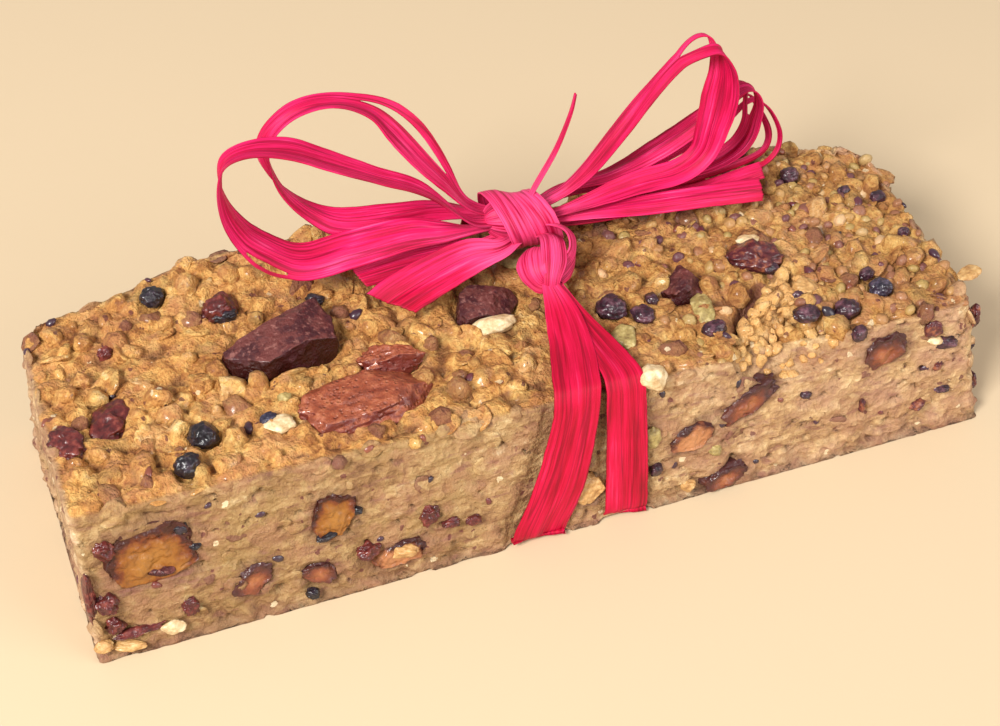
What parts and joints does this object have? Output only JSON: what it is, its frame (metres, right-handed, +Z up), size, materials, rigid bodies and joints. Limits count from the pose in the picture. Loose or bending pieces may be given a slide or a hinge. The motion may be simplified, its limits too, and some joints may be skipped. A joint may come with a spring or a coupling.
{
  "type": "granola bar",
  "caption": "Rectangular cut granola bar of oats, puffed grain, dried fruit and chocolate pieces, tied round the middle with a raffia ribbon and a looped bow.",
  "frame": {"origin": "under the middle of the bar, on the surface it rests on", "axes": "+X along the bar's length, -Y out of the cut front face, +Z up out of the baked top"},
  "size_m": [0.1149, 0.0394, 0.0456],
  "materials": {
    "granola": "baked oats, puffed grain and seeds, glossy in places",
    "raffia": "hot pink raffia, satin, with lengthwise fibres",
    "chocolate": "dark chocolate, satin",
    "date": "chewy dried fruit, glossy",
    "cranberry": "dried cranberry, glossy",
    "currant": "dried currant, glossy and wrinkled",
    "berry": "dried blue berry, satin",
    "caramel": "amber fruit and nut, cut, glossy",
    "nut": "cut nut, satin"
  },
  "bodies": {
    "root": {"berry_blue": "berry", "bow_loop_left_lower": "raffia", "bow_loop_left_upper": "raffia", "bow_loop_right_middle": "raffia", "bow_loop_right_outer": "raffia", "bow_loop_right_tall": "raffia", "caramel_left": "caramel", "caramel_middle": "caramel", "chocolate_block": "chocolate", "chocolate_chip_right": "chocolate", "chocolate_under_bow": "chocolate", "cranberry_back": "cranberry", "cranberry_left": "cranberry", "cranberry_low_left": "cranberry", "cranberry_low_middle": "cranberry", "cranberry_right": "cranberry", "cranberry_right_end": "cranberry", "cranberry_slanted": "cranberry", "currant_back": "currant", "currant_by_strap": "currant", "currant_edge": "currant", "currant_far_right": "currant", "currant_front": "currant", "currant_right_front": "currant", "date_at_foot": "date", "date_by_strap": "date", "date_low": "date", "date_piece": "date", "date_tip": "date", "granola_bar": "granola", "nut_between_straps": "nut", "ribbon_knot_lower": "raffia", "ribbon_knot_upper": "raffia", "ribbon_sliver": "raffia", "ribbon_strap_left": "raffia", "ribbon_strap_right": "raffia", "ribbon_tail_left_back": "raffia", "ribbon_tail_left_front": "raffia", "ribbon_tail_right_back": "raffia", "ribbon_tail_right_front": "raffia"}
  },
  "joints": []
}
